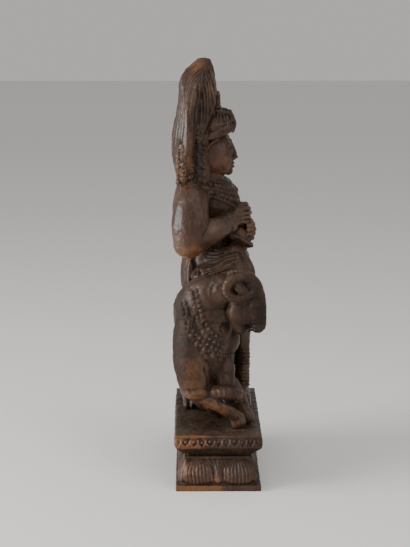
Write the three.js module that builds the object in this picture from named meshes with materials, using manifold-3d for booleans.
// Two-headed deity riding a kneeling ram, carved from one block of wood together with its lotus plinth.
// Millimetres, +Z up. The deity looks along -Y, the ram's chest is at -X, and the origin is the
// middle of the plinth's underside.
import * as THREE from 'three';
import { mergeVertices } from 'three/addons/utils/BufferGeometryUtils.js';
import Module from 'manifold-3d';

const wasm = await Module();
wasm.setup();

// Plinth
const PLINTH_LENGTH = 200;
const PLINTH_DEPTH = 84;
const PLINTH_TOP = 55;
const SLAB_BOTTOM = 42.5;
const CHAMFER_BOTTOM = 35.5;
const CHAMFER_INSET = 8;
const GROOVE_BOTTOM = 33;
const GROOVE_INSET = 12;
const LOTUS_TOP = 30.5;
const LOTUS_TOP_INSET = 10;
const FOOT_BAND = 5;
const FOOT_INSET = 1;
const CORNER_RADIUS = 12;
const LONG_PETALS = 8;
const SHORT_PETALS = 4;
const PETAL_COLUMNS = 4;
const LEAF_PITCH = 20;

// Ram
const RAM_HEAD_X = -76;
const HORN_OFFSET = 16;
const HORN_CENTRE_Y = -19;
const HORN_CENTRE_Z = 194;
const HORN_RADIUS = 10;
const HORN_THICK = 5.5;
const BEAD_RADIUS = 2.8;
const BELL_RADIUS = 3.4;
const MANE_X = -104;
const GARLAND_STEPS = 4;

// Deity
const HEAD_OFFSET = 19;
const HEAD_Z = 318;
const CAP_Z = 343;
const FINIAL_TOP = 377;
const ELBOW_OFFSET = 52;
const HANDLE_TOP = 267;
const HANDLE_BOTTOM = 226;
const TIP_Z = 410;
const TIP_Y = 13;
const AUREOLE_BOTTOM = 272;
const AUREOLE_HALF_WIDTH = 51;
const AUREOLE_FLUTES = 12;
const FLUTE_DEPTH = 0.08;

// Closed three.js geometry as a solid that can be joined and cut.
function solid(geometry) {
  geometry.deleteAttribute('normal');
  geometry.deleteAttribute('uv');
  const merged = mergeVertices(geometry, 1e-4);
  const vertProperties = new Float32Array(merged.attributes.position.array);
  const triVerts = new Uint32Array(merged.index.array);
  return new wasm.Manifold(new wasm.Mesh({ numProp: 3, vertProperties, triVerts }));
}

function joined(parts) {
  return parts.reduce((whole, part) => whole.add(part));
}

// Moves every vertex of a geometry to where place(vertex) says.
function reshaped(geometry, place) {
  const position = geometry.attributes.position;
  const vertex = new THREE.Vector3();
  for (let i = 0; i < position.count; i += 1) {
    vertex.fromBufferAttribute(position, i);
    const moved = place(vertex);
    position.setXYZ(i, moved.x, moved.y, moved.z);
  }
  return geometry;
}

// Ellipsoid with its poles along Z, turned about X, Y and Z in degrees.
function blob(centre, radii, { turn = [0, 0, 0], sides = 10, rows = 6 } = {}) {
  const geometry = new THREE.SphereGeometry(1, sides, rows);
  geometry.rotateX(Math.PI / 2);
  geometry.scale(...radii);
  const [aboutX, aboutY, aboutZ] = turn.map(THREE.MathUtils.degToRad);
  geometry.rotateX(aboutX);
  geometry.rotateY(aboutY);
  geometry.rotateZ(aboutZ);
  geometry.translate(...centre);
  return solid(geometry);
}

// Value at t, from 0 to 1, along a list of evenly spaced values.
function mix(values, t) {
  const place = THREE.MathUtils.clamp(t, 0, 1) * (values.length - 1);
  const low = Math.min(Math.floor(place), values.length - 2);
  return THREE.MathUtils.lerp(values[low], values[low + 1], place - low);
}

// Round-ended limb along a smooth curve. A station is [x, y, z, radius along the axis across, radius
// the other way], the ends are rounded past the first and last station, and full above 2 squares the
// section.
function limb(stations, { sides = 8, rows = 8, dome = 0.85, across = [1, 0, 0], full = 2 } = {}) {
  const path = new THREE.CatmullRomCurve3(stations.map(([x, y, z]) => new THREE.Vector3(x, y, z)));
  const axis = new THREE.Vector3(...across);
  const geometry = new THREE.SphereGeometry(1, sides, rows);
  const cap = Math.PI / 4;
  return solid(reshaped(geometry, (vertex) => {
    const polar = Math.acos(THREE.MathUtils.clamp(vertex.y, -1, 1));
    const t = THREE.MathUtils.clamp((polar - cap) / (2 * cap), 0, 1);
    const past = Math.max(cap - polar, polar - 3 * cap, 0) * 2;
    const ring = (Math.abs(vertex.x) ** full + Math.abs(vertex.z) ** full) ** (1 / full);
    const spread = ring > 1e-6 ? Math.cos(past) / ring : 0;
    const tangent = path.getTangent(t);
    const deep = new THREE.Vector3().crossVectors(tangent, axis).normalize();
    const side = new THREE.Vector3().crossVectors(deep, tangent).normalize();
    const wide = mix(stations.map((station) => station[3]), t);
    const thick = mix(stations.map((station) => station[4]), t);
    const reach = Math.sign(t - 0.5) * Math.sin(past) * Math.min(wide, thick) * dome;
    return path.getPoint(t)
      .addScaledVector(side, vertex.x * spread * wide)
      .addScaledVector(deep, vertex.z * spread * thick)
      .addScaledVector(tangent, reach);
  }));
}

// Rectangular tier of the plinth between two heights, each with its inset from the plinth's outline.
function tier(bottom, top, bottomInset, topInset) {
  const geometry = new THREE.BoxGeometry(2, 2, 1);
  return solid(reshaped(geometry, ({ x, y, z }) => {
    const inset = z > 0 ? topInset : bottomInset;
    return new THREE.Vector3(
      x * (PLINTH_LENGTH / 2 - inset),
      y * (PLINTH_DEPTH / 2 - inset),
      z > 0 ? top : bottom,
    );
  }));
}

// Point and outward direction on the plinth's outline, whose corners are round. A side is 0 to 3, from
// the front round by +X, and along runs from 0 to 1 between the middles of its two corners.
function plinthEdge(side, along) {
  const long = side % 2 === 0;
  const half = (long ? PLINTH_LENGTH : PLINTH_DEPTH) / 2 - CORNER_RADIUS;
  const out = (long ? PLINTH_DEPTH : PLINTH_LENGTH) / 2 - CORNER_RADIUS;
  const arc = (CORNER_RADIUS * Math.PI) / 4;
  const run = (along * 2 - 1) * (half + arc);
  const angle = (Math.sign(run) * Math.max(Math.abs(run) - half, 0)) / CORNER_RADIUS;
  const flat = THREE.MathUtils.clamp(run, -half, half);
  const direction = new THREE.Vector3(Math.sin(angle), -Math.cos(angle), 0);
  const point = new THREE.Vector3(flat, -out, 0).addScaledVector(direction, CORNER_RADIUS);
  const up = new THREE.Vector3(0, 0, 1);
  return [point.applyAxisAngle(up, (side * Math.PI) / 2), direction.applyAxisAngle(up, (side * Math.PI) / 2)];
}

// Ring of turned-down lotus petals, each swelling between two valleys.
function lotusRing() {
  const bulges = [0.5, 4.2, 4.8, 0.5];
  const levels = [LOTUS_TOP, 24, 12, FOOT_BAND];
  const insets = [LOTUS_TOP_INSET, 8.8, 6.2, 5.4];
  const counts = [LONG_PETALS, SHORT_PETALS, LONG_PETALS, SHORT_PETALS];
  const petals = counts.flatMap((count, side) => Array.from({ length: count }, (_, i) => [side, i / count, count]));
  const columns = petals.length * PETAL_COLUMNS;
  const geometry = new THREE.CylinderGeometry(1, 1, 1, columns, levels.length - 1);
  return solid(reshaped(geometry, ({ x, y, z }) => {
    const level = Math.round((0.5 - y) * (levels.length - 1));
    if (Math.hypot(x, z) < 0.5) return new THREE.Vector3(0, 0, levels[level]);
    const around = (THREE.MathUtils.euclideanModulo(-Math.atan2(z, x), 2 * Math.PI) / (2 * Math.PI)) * petals.length;
    const [side, start, count] = petals[Math.floor(around + 1e-6) % petals.length];
    const phase = THREE.MathUtils.euclideanModulo(around + 1e-6, 1);
    const swell = Math.sqrt(Math.sin(Math.PI * phase));
    const [point, direction] = plinthEdge(side, start + phase / count);
    point.addScaledVector(direction, bulges[level] * swell - insets[level]);
    return point.setZ(levels[level]);
  }));
}

// Row of small pointed leaves cut round the upper slab.
function leafRow() {
  const leaves = [];
  const sides = [
    { span: PLINTH_LENGTH, out: PLINTH_DEPTH / 2, turn: 0 },
    { span: PLINTH_DEPTH, out: PLINTH_LENGTH / 2, turn: 90 },
    { span: PLINTH_LENGTH, out: PLINTH_DEPTH / 2, turn: 180 },
    { span: PLINTH_DEPTH, out: PLINTH_LENGTH / 2, turn: 270 },
  ];
  for (const { span, out, turn } of sides) {
    const count = Math.round(span / LEAF_PITCH);
    for (let i = 0; i < count; i += 1) {
      const leaf = new THREE.ConeGeometry(1, 2.2, 4);
      leaf.scale(span / count / 2.1, 1, 4.2);
      leaf.rotateX(Math.PI);
      leaf.translate(((i + 0.5) / count - 0.5) * span, -out + 0.4, (SLAB_BOTTOM + PLINTH_TOP) / 2 - 0.6);
      leaf.rotateZ(THREE.MathUtils.degToRad(turn));
      leaves.push(solid(leaf));
    }
  }
  return leaves;
}

function plinth() {
  return joined([
    tier(SLAB_BOTTOM, PLINTH_TOP, 1, 1),
    tier(CHAMFER_BOTTOM, SLAB_BOTTOM, CHAMFER_INSET, 1),
    tier(GROOVE_BOTTOM, CHAMFER_BOTTOM, GROOVE_INSET, GROOVE_INSET),
    tier(LOTUS_TOP, GROOVE_BOTTOM, LOTUS_TOP_INSET - 1, LOTUS_TOP_INSET - 1),
    tier(0, FOOT_BAND, FOOT_INSET, FOOT_INSET),
    lotusRing(),
    ...leafRow(),
  ]);
}

function ramBody() {
  const across = [0, 1, 0];
  const trunk = limb([
    [-56, 12, 150, 27, 42],
    [-27, 10, 129, 29, 66],
    [6, 9, 120, 28, 69],
    [38, 9, 114, 31, 63],
    [58, 9, 109, 29, 55],
  ], { sides: 12, across, full: 2.15 });
  const haunches = [[-13, 15], [31, 12]].map(([y, deep]) => (
    blob([60, y, 95], [30, deep, 38], { turn: [0, 14, 0], sides: 8 })
  ));
  const hindLegs = [-27, 30].map((y) => limb([[84, y + 1, 66, 9, 10], [22, y - 2, 60, 7, 8]], { rows: 4, across }));
  const hindHooves = [-30, 28].map((y) => blob([14, y, 59], [11, 8, 8], { sides: 6, rows: 4 }));
  const tail = limb([[82, 12, 142, 6, 6], [92, 12, 118, 8, 7], [90, 10, 90, 6, 5]], { sides: 6 });
  return joined([trunk, ...haunches, ...hindLegs, ...hindHooves, tail]);
}

function ramForelegs() {
  const shoulder = limb([
    [-58, 21, 174, 17, 16],
    [-66, 25, 149, 19, 18.5],
    [-70, 25, 121, 18, 18.5],
    [-71, 23, 99, 15, 16],
  ], { sides: 10 });
  const foldedShank = limb([[-68, 17, 92, 11, 10], [-58, 0, 80, 9, 8.5], [-42, -24, 66, 7, 7]], { sides: 6 });
  const upperLeg = limb([[-50, -2, 134, 16, 15], [-60, -5, 112, 14, 13], [-67, -8, 97, 13, 13]], { sides: 6 });
  const lowerLeg = limb([[-67, -9, 95, 12, 10], [-65, -14, 80, 8, 7.5], [-61, -18, 67, 8, 7.5]], { sides: 6 });
  const hooves = [[-62, -19, 62], [-37, -29, 61]].map((place) => blob(place, [10, 10, 9], { sides: 8, rows: 4 }));
  return joined([shoulder, foldedShank, upperLeg, lowerLeg, ...hooves]);
}

// Horn curling forward round the side of the ram's head, -1 being the near side.
function ramHorn(side) {
  const turns = 9;
  const stations = Array.from({ length: turns }, (_, i) => {
    const t = i / (turns - 1);
    const angle = THREE.MathUtils.degToRad(60 + 300 * t);
    const thick = HORN_THICK * (1 - 0.55 * t);
    return [
      RAM_HEAD_X + side * HORN_OFFSET * Math.min(1, 0.55 + 1.5 * t),
      HORN_CENTRE_Y - HORN_RADIUS * Math.cos(angle),
      HORN_CENTRE_Z + HORN_RADIUS * Math.sin(angle),
      thick,
      thick,
    ];
  });
  return limb(stations, { sides: 6, rows: 12 });
}

function ramHead() {
  const x = RAM_HEAD_X;
  const skull = limb([
    [x, -13, 197, 12, 14],
    [x, -22, 190, 13, 20],
    [x, -29, 177, 12, 18],
    [x, -35, 161, 10.5, 12.5],
  ], { sides: 10 });
  const brow = blob([x, -26.5, 198.5], [11, 13, 13], { sides: 8 });
  const jaw = limb([[x, -12, 168, 10, 11], [x, -22, 156, 8, 7]], { sides: 6, rows: 4 });
  const neck = limb([
    [-38, 14, 162, 27, 31],
    [-55, 18, 172, 24, 25],
    [-64, 8, 184, 20, 23],
    [-72, -4, 193, 14, 16],
  ]);
  const features = [-1, 1].flatMap((side) => [
    ramHorn(side),
    blob([x + side * (HORN_OFFSET - 3), -27, 191], [4, 10, 4.5], { turn: [-15, 0, 0], sides: 6, rows: 4 }),
    blob([x + side * 11, -34, 182], [3.5, 4, 3], { sides: 4, rows: 2 }),
  ]);
  return joined([skull, brow, jaw, neck, ...features]);
}

// Garland lying on the coat along a curve of [y, z] points, seen from in front of the chest.
function garland(coat, points, radius) {
  const curve = new THREE.CatmullRomCurve3(points.map(([y, z]) => new THREE.Vector3(MANE_X, y, z)));
  const ray = new THREE.Raycaster();
  const stations = curve.getSpacedPoints(GARLAND_STEPS).map((start) => {
    ray.set(start, new THREE.Vector3(1, 0, 0));
    const { x, y, z } = ray.intersectObject(coat)[0].point;
    return [x, y, z, radius, radius];
  });
  return limb(stations, { sides: 4, rows: 4 + 2 * GARLAND_STEPS });
}

function ram() {
  const body = joined([ramBody(), ramForelegs(), ramHead()]);
  const coat = carved('coat', body, new THREE.MeshStandardMaterial());
  return joined([
    body,
    garland(coat, [[20, 190], [15, 170], [7, 154], [-6, 144]], BEAD_RADIUS),
    garland(coat, [[32, 172], [26, 152], [11, 138], [-3, 129], [-12, 127]], BELL_RADIUS),
    blob([-74, -8, 117], [11, 5, 11], { sides: 8, rows: 4 }),
  ]);
}

function deityBody() {
  const torso = limb([
    [0, 12, 203, 34, 22],
    [0, 9, 226, 30, 21],
    [0, 8, 248, 31, 22],
    [0, 4, 268, 37, 25],
    [0, 8, 281, 36, 19],
  ], { sides: 12, rows: 8, dome: 0.6, full: 2.2 });
  const arms = [-1, 1].flatMap((side) => [
    limb([
      [side * 22, 14, 279, 13, 14],
      [side * 42, 24, 275, 15, 16],
      [side * ELBOW_OFFSET, 27, 254, 14, 18],
      [side * ELBOW_OFFSET, 29, 235, 13, 16],
    ], { dome: 1 }),
    limb([
      [side * ELBOW_OFFSET, 27, 236, 12, 14],
      [side * 47, 8, 244, 11, 13],
      [side * 36, -10, 251, 9, 10],
    ], { dome: 0.5 }),
    limb([[side * 13, 8, 284, 13, 13], [side * (HEAD_OFFSET - 1), 5, 302, 11, 12]], { rows: 4 }),
  ]);
  return joined([torso, ...arms]);
}

function deityHands() {
  const handle = new THREE.CylinderGeometry(5.5, 5.5, HANDLE_TOP - HANDLE_BOTTOM, 6);
  handle.rotateX(Math.PI / 2);
  handle.translate(-14, -26, (HANDLE_TOP + HANDLE_BOTTOM) / 2);
  return joined([
    limb([[-34, -13, 253, 8, 8.5], [-25, -21, 257, 9, 9], [-15, -23, 257, 9, 8]], { sides: 6 }),
    limb([[36, -11, 250, 8, 9], [16, -23, 243, 8.5, 9], [-8, -27, 241, 9, 9]], { sides: 6 }),
    limb([[-8, -4, 242, 16, 11], [-18, -16, 240, 11, 8]], { rows: 4 }),
    blob([-20, -23, 232], [11, 12, 6], { sides: 8, rows: 4 }),
    solid(handle),
  ]);
}

function deityLegs() {
  const saddle = blob([2, 8, 193], [46, 28, 13], { sides: 12, rows: 4 });
  const hangingThigh = limb([[-14, 14, 205, 16, 16], [-28, -4, 210, 14, 14], [-37, -18, 212, 12, 13]], { sides: 6 });
  const hangingShin = limb([
    [-37, -18, 211, 11, 12],
    [-37, -23, 178, 10, 10],
    [-35, -24, 136, 9, 8],
    [-34, -24, 96, 8, 7],
  ]);
  const foot = limb([[-34, -23, 90, 7, 6], [-50, -21, 83, 7, 6]], { sides: 6, rows: 4, across: [0, 1, 0] });
  const foldedThigh = limb([[16, 12, 206, 17, 16], [36, 0, 207, 15, 14], [46, -14, 206, 12, 12]], { sides: 6 });
  const foldedShin = limb([[46, -15, 206, 11, 11], [24, -23, 209, 10, 10], [0, -24, 210, 9, 9.5]], { sides: 6 });
  const apron = limb([[-4, -16, 212, 16, 12], [0, -18, 190, 16, 10]], { rows: 4 });
  const anklets = [119, 109, 99].map((z) => blob([-34, -24, z], [12, 9.5, 5], { sides: 8, rows: 2 }));
  return joined([saddle, hangingThigh, hangingShin, foot, foldedThigh, foldedShin, apron, ...anklets]);
}

function deityHead(side) {
  const x = side * HEAD_OFFSET;
  const finial = new THREE.CylinderGeometry(6.5, 8, FINIAL_TOP - CAP_Z, 8);
  finial.rotateX(Math.PI / 2);
  finial.translate(x, 4, (FINIAL_TOP + CAP_Z) / 2);
  const nose = new THREE.ConeGeometry(4.6, 17, 4);
  nose.rotateX(Math.PI / 2 - 0.18);
  nose.translate(x, -14.5, 321);
  const eyes = [-7, 7].map((apart) => blob([x + apart, -12.5, 321], [5, 3.5, 2.6], { sides: 4, rows: 2 }));
  return joined([
    blob([x, 2, HEAD_Z], [17, 17.5, 22], { rows: 8 }),
    blob([x, -6, 302], [9, 8, 6], { sides: 6, rows: 4 }),
    solid(nose),
    blob([x, -13.6, 308.5], [6, 3.4, 3], { sides: 6, rows: 2 }),
    ...eyes,
    blob([x + side * 17, 12, 311], [4, 5, 12], { sides: 6, rows: 4 }),
    blob([x + side * 16, 14, 336], [6.5, 6.5, 5], { turn: [0, 90, 0], sides: 8, rows: 2 }),
    blob([x, 2, CAP_Z], [18.5, 18, 15.5], { turn: [12, 0, 0], rows: 5 }),
    solid(finial),
  ]);
}

// Pointed shell of flames behind the two heads: convex at the back, fluted, with a rounded rim.
function aureole() {
  const halves = [0.5, 0.8, 0.95, 1, 0.98, 0.9, 0.76, 0.52, 0.14];
  const backs = [31, 38, 42.5, 45, 43.3, 40, 36, 30.5, 18];
  const fronts = [24, 24, 22, 18, 14, 10, 5, 3, 8];
  const rims = [28, 31, 30, 29, 28, 27.5, 26, 22, TIP_Y];
  const geometry = new THREE.SphereGeometry(1, 2 * AUREOLE_FLUTES, 10);
  const shell = solid(reshaped(geometry, ({ x, y, z }) => {
    const up = 0.5 + Math.asin(THREE.MathUtils.clamp(y, -1, 1)) / Math.PI;
    const open = Math.min(1, Math.hypot(x, z) * 2);
    const turn = Math.atan2(-z, x);
    const across = Math.cos(turn);
    const middle = (mix(backs, up) + mix(fronts, up)) / 2;
    const half = (mix(backs, up) - mix(fronts, up)) / 2;
    const bend = THREE.MathUtils.lerp(middle, mix(rims, up), across * across);
    const flute = 1 - FLUTE_DEPTH * (1 + Math.cos(AUREOLE_FLUTES * turn));
    const thick = THREE.MathUtils.lerp(half, 9, across * across) * Math.sin(turn) * flute;
    return new THREE.Vector3(
      AUREOLE_HALF_WIDTH * mix(halves, up) * across * open,
      THREE.MathUtils.lerp(mix(rims, up), bend + thick, open),
      THREE.MathUtils.lerp(AUREOLE_BOTTOM, TIP_Z, up),
    );
  }));
  return shell.add(blob([0, TIP_Y, 399], [8, 8, 11], { sides: 6, rows: 4 }));
}

// Upswept strands of hair between the crowns and the shell, running together at the tip.
function hair() {
  return [-26, 0, 26].map((x) => limb([
    [x, 18, 292, 13, 12],
    [x, 14, 334, 10, 9],
    [x * 0.75, 8, 366, 8, 9],
    [x * 0.25, TIP_Y - 1, 395, 6, 7],
  ], { sides: 6 }));
}

function deity() {
  return joined([
    deityBody(),
    deityHands(),
    deityLegs(),
    deityHead(-1),
    deityHead(1),
    aureole(),
    ...hair(),
  ]);
}

// Mesh of one carved solid with its name and material.
function carved(name, whole, material) {
  const { numProp, vertProperties, triVerts } = whole.getMesh();
  const positions = new Float32Array((vertProperties.length / numProp) * 3);
  for (let i = 0; i < positions.length / 3; i += 1) {
    positions.set(vertProperties.subarray(i * numProp, i * numProp + 3), i * 3);
  }
  const geometry = new THREE.BufferGeometry();
  geometry.setAttribute('position', new THREE.BufferAttribute(positions, 3));
  geometry.setIndex(new THREE.BufferAttribute(new Uint32Array(triVerts), 1));
  geometry.computeVertexNormals();
  const mesh = new THREE.Mesh(geometry, material);
  mesh.name = name;
  return mesh;
}

const wood = new THREE.MeshStandardMaterial({ color: 0x4a3022, roughness: 0.42, metalness: 0 });
const group = new THREE.Group();
group.add(carved('statuette', joined([plinth(), ram(), deity()]), wood));

export default group;
